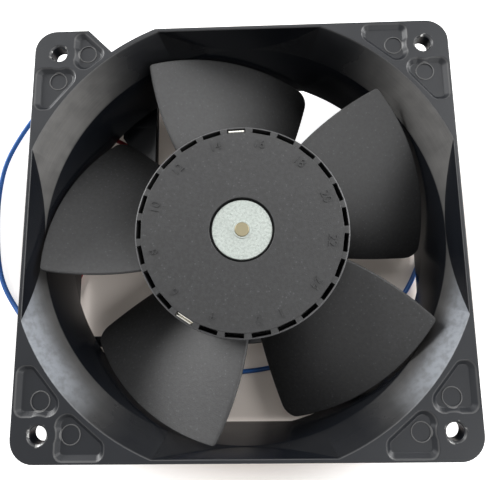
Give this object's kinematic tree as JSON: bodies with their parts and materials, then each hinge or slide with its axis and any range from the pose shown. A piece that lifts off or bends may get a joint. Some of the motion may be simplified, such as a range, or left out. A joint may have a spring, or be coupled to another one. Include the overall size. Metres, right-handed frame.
{
  "type": "axial cooling fan",
  "caption": "Square axial cooling fan: die-cast frame with a bell-mouthed duct, open corners and strut-carried motor plate, twisted-blade impeller on an external-rotor motor, free leads.",
  "frame": {"origin": "middle of the housing: on the shaft's axis, halfway between the rear and front faces", "axes": "+Z along the shaft, out of the open front face; +X and +Y along the housing's sides, with the cable notch at -X +Y"},
  "size_m": [0.1643, 0.1409, 0.0399],
  "materials": {
    "cast_black": "black satin paint on a casting, lightly scuffed",
    "grey_moulding": "dark warm grey moulded satin",
    "steel": "ground steel",
    "ferrite": "sintered dark grey",
    "zinc": "matt cast zinc",
    "laminations": "stacked steel sheet",
    "nylon": "natural nylon",
    "copper": "enamelled copper wire",
    "film": "smooth film",
    "board": "green solder mask",
    "chip": "black moulded body",
    "tin": "bright tin",
    "clip_rubber": "black rubber",
    "blue_sleeve": "blue satin insulation",
    "red_sleeve": "dark red satin insulation"
  },
  "bodies": {
    "housing": {"fan_housing": "cast_black", "bearing_tube": "steel", "lead_clip": "clip_rubber", "insulating_film": "film", "circuit_board": "board", "driver_chip_1": "chip", "driver_chip_2": "chip", "hall_sensor": "chip", "capacitor": "tin", "stator_core": "laminations", "upper_insulator": "nylon", "lower_insulator": "nylon", "coil_1": "copper", "coil_2": "copper", "coil_3": "copper", "coil_4": "copper", "rear_bearing_outer_ring": "steel", "rear_bearing_lower_shield": "steel", "rear_bearing_upper_shield": "steel", "front_bearing_outer_ring": "steel", "front_bearing_lower_shield": "steel", "front_bearing_upper_shield": "steel", "blue_lead": "blue_sleeve", "red_lead": "red_sleeve", "blue_lead_tip": "tin", "red_lead_tip": "tin"},
    "rotor": {"impeller": "grey_moulding", "rotor_cup": "steel", "rotor_magnet": "ferrite", "rotor_boss": "zinc", "shaft": "steel", "retaining_ring": "steel", "shaft_shim": "steel", "preload_spring": "steel", "rear_bearing_inner_ring": "steel", "front_bearing_inner_ring": "steel", "balance_clip_5": "steel", "balance_clip_15": "steel"},
    "rear_bearing_cage": {"rear_bearing_balls": "steel"},
    "front_bearing_cage": {"front_bearing_balls": "steel"}
  },
  "joints": [
    {"name": "rotor_spin", "type": "hinge", "parent": "housing", "child": "rotor", "pos_m": [0, 0, 0], "axis": [0, 0, 1], "continuous": true},
    {"name": "rear_cage_spin", "type": "hinge", "parent": "housing", "child": "rear_bearing_cage", "pos_m": [0, 0, -0.0113], "axis": [0, 0, 1], "continuous": true},
    {"name": "front_cage_spin", "type": "hinge", "parent": "housing", "child": "front_bearing_cage", "pos_m": [0, 0, 0.0057], "axis": [0, 0, 1], "continuous": true}
  ],
  "couplings": [
    {"joint": "rear_cage_spin", "follows": "rotor_spin", "ratio": 0.375},
    {"joint": "front_cage_spin", "follows": "rotor_spin", "ratio": 0.375}
  ]
}
